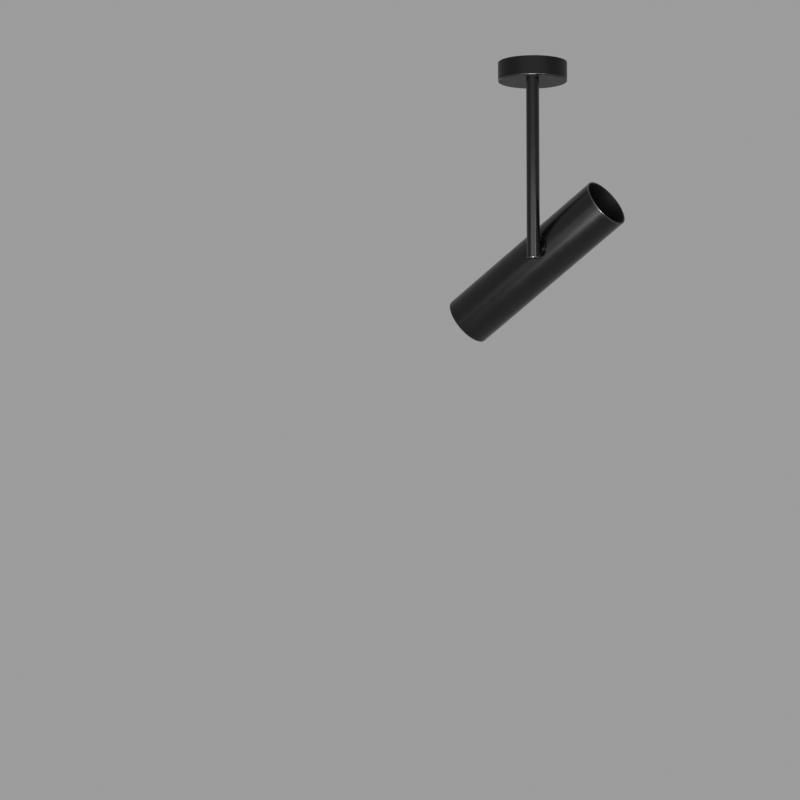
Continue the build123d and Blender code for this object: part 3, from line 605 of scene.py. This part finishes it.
ring_corners = [
    (23.9, -112.1, 0.15), (24.65, -113.6, 0.3), (27.9, -113.6, 0.4), (27.9, -100.1, 0.3),
    (25.3, -100.1, 0.3), (25.3, -112.1, 0.1),
]
shape = lathe(outline(ring_corners), segments=160)
ring = new_piece("trim_ring_shell", shape, TUBE, "head",
                 finish["black_aluminium"])
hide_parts("trim_ring")

dam_corners = [
    (3.7, BOWL_FLOOR, 0), (4.5, BOWL_FLOOR, 0), (4.5, -96.2, 0.25), (3.7, -96.2, 0.2),
]
shape = lathe(outline(dam_corners), segments=96)
dam = new_piece("led_dam", shape, TUBE, "head", finish["holder_ceramic"])
dome_corners = [
    (0, BOWL_FLOOR, 0), (3.75, BOWL_FLOOR, 0), (3.75, -95.7, 0.3), (2.4, -96.05, 3.0),
    (0, -96.15, 0),
]
shape = lathe(outline(dome_corners), segments=96)
dome = new_piece("led_phosphor", shape, TUBE, "head", finish["led"])
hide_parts("lamp_led")
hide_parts("lamp_led")


# ---------------------------------------------------------------- studio
# Grey tones with which wall and floor show, where 1 is white; the floor's own shading is added
WALL, FLOOR = 0.335, 0.215
AMBIENT = 0.2
SHEET_CELLS = 8
AWAY = (0, 1, 0)            # aim of the lamps on the camera's side
LAMP_Y, CORE_Y = -0.5655, -0.5650    # the bright core is just in front of the others


def area_light(name, centre, aim, size, radiance):
    """Lamp that is as bright as its radiance says at any size; the camera doesn't see it."""
    data = bpy.data.lights.new(name, "AREA")
    data.shape = "RECTANGLE"
    data.size, data.size_y = size
    data.energy = radiance * math.pi * size[0] * size[1]
    lamp = bpy.data.objects.new(name, data)
    bpy.context.scene.collection.objects.link(lamp)
    lamp.location = centre
    lamp.rotation_euler = Vector(aim).to_track_quat("-Z", "Y").to_euler()
    lamp.visible_camera = False


area_light("front_softbox", (-0.08, LAMP_Y, -0.18), AWAY, (0.86, 0.29), 1.6)
area_light("low_softbox", (-0.14, LAMP_Y, -0.6), AWAY, (0.46, 0.55), 2.75)
area_light("softbox_core", (-0.02, CORE_Y, -0.5), AWAY, (0.22, 0.3), 15.5)
area_light("left_softbox", (-0.62, LAMP_Y, -0.48), AWAY, (0.46, 0.34), 0.48)
area_light("side_strip", (0.45, LAMP_Y, -0.2), AWAY, (0.12, 0.3), 6.0)
area_light("upper_softbox", (-0.05, LAMP_Y, 0.16), AWAY, (0.75, 0.36), 0.28)
area_light("overhead_softbox", (0, 0.1, 1.2), (0, 0, -1), (2.0, 1.6), 0.12)
area_light("back_softbox", (0, 0.4, 1.0), (0, -0.3, -0.95), (1.15, 0.85), 0.85)
area_light("back_strip", (-0.55, 0.92, -0.44), (0.5, -0.84, 0.2), (0.35, 0.64), 1.2)


def background_rays(tree):
    """1 for the rays that show the background: camera, gloss and glass."""
    path = tree.nodes.new("ShaderNodeLightPath")
    total = path.outputs["Is Camera Ray"]
    for other in ("Is Glossy Ray", "Is Transmission Ray"):
        add = tree.nodes.new("ShaderNodeMath")
        add.operation = "ADD"
        add.use_clamp = True
        tree.links.new(total, add.inputs[0])
        tree.links.new(path.outputs[other], add.inputs[1])
        total = add.outputs["Value"]
    return total


def backdrop_material(name, colour, tone, shadows=False):
    """Pale paint that shows one plain tone to the camera, in gloss and through glass. With
    shadows, that tone comes on top of the paint's own shading and the object's shadow."""
    n = Nodes(name)
    n.mottle(n.noise(1.5), colour, dark=0.98, light=1.02)
    n.set(Roughness=0.9, Specular_IOR_Level=0.0)
    flat = n.tree.nodes.new("ShaderNodeEmission")
    flat.inputs["Color"].default_value = (tone, tone, tone, 1)
    shown = flat.outputs["Emission"]
    if shadows:
        both = n.tree.nodes.new("ShaderNodeAddShader")
        n.link(n.shader.outputs["BSDF"], both.inputs[0])
        n.link(shown, both.inputs[1])
        shown = both.outputs["Shader"]
    mix = n.tree.nodes.new("ShaderNodeMixShader")
    n.link(background_rays(n.tree), mix.inputs["Fac"])
    n.link(n.shader.outputs["BSDF"], mix.inputs[1])
    n.link(shown, mix.inputs[2])
    n.link(mix.outputs["Shader"], n.tree.nodes["Material Output"].inputs["Surface"])
    return n.material


def sheet(name, centre, right, up, material):
    """Flat studio surface, finely enough divided for its own shading."""
    centre, right, up = Vector(centre), Vector(right), Vector(up)
    steps = [2 * i / SHEET_CELLS - 1 for i in range(SHEET_CELLS + 1)]
    points = [centre + right * across + up * along for across in steps for along in steps]
    faces = []
    for i in range(SHEET_CELLS):
        for j in range(SHEET_CELLS):
            a = i * (SHEET_CELLS + 1) + j
            faces.append((a, a + SHEET_CELLS + 1, a + SHEET_CELLS + 2, a + 1))
    mesh = bpy.data.meshes.new(name)
    mesh.from_pydata(points, [], faces)
    mesh.materials.append(material)
    surface = bpy.data.objects.new(name, mesh)
    bpy.context.scene.collection.objects.link(surface)


wall_paint = backdrop_material("backdrop_paint", (0.7, 0.7, 0.7), WALL)
floor_paint = backdrop_material("floor_paint", (0.5, 0.5, 0.5), FLOOR, shadows=True)
sheet("backdrop", (0, 3.0, 0.4), (6, 0, 0), (0, 0, 3.2), wall_paint)
sheet("floor", (0, 0, -2.6), (6, 0, 0), (0, 6, 0), floor_paint)

world = bpy.data.worlds.new("studio")
bpy.context.scene.world = world
world.use_nodes = True
tree = world.node_tree
background = tree.nodes["Background"]
background.inputs["Color"].default_value = (AMBIENT, AMBIENT, AMBIENT, 1)
seen = tree.nodes.new("ShaderNodeBackground")
seen.inputs["Color"].default_value = (WALL, WALL, WALL, 1)
mix = tree.nodes.new("ShaderNodeMixShader")
tree.links.new(background_rays(tree), mix.inputs["Fac"])
tree.links.new(background.outputs["Background"], mix.inputs[1])
tree.links.new(seen.outputs["Background"], mix.inputs[2])
tree.links.new(mix.outputs["Shader"], tree.nodes["World Output"].inputs["Surface"])

# Camera at the photograph's viewing angle, in metres, radians and, for the lens, mm
CAMERA_PLACE = (0, -3.4192, -0.7513)
YAW, PITCH = 0.0449, 0.1045
FOCAL_LENGTH, SENSOR_WIDTH = 135.0, 36.0
FARTHEST = 50.0
level = math.cos(PITCH)
right = Vector((math.cos(YAW), math.sin(YAW), 0))
forward = Vector((-math.sin(YAW) * level, math.cos(YAW) * level, math.sin(PITCH)))
up = right.cross(forward)
lens = bpy.data.cameras.new("camera")
lens.lens, lens.sensor_width = FOCAL_LENGTH, SENSOR_WIDTH
lens.clip_end = FARTHEST
camera = bpy.data.objects.new("camera", lens)
bpy.context.scene.collection.objects.link(camera)
turn = Matrix((right, up, -forward)).transposed().to_4x4()
camera.matrix_world = Matrix.Translation(CAMERA_PLACE) @ turn
bpy.context.scene.camera = camera
bpy.context.scene.view_settings.view_transform = "Standard"
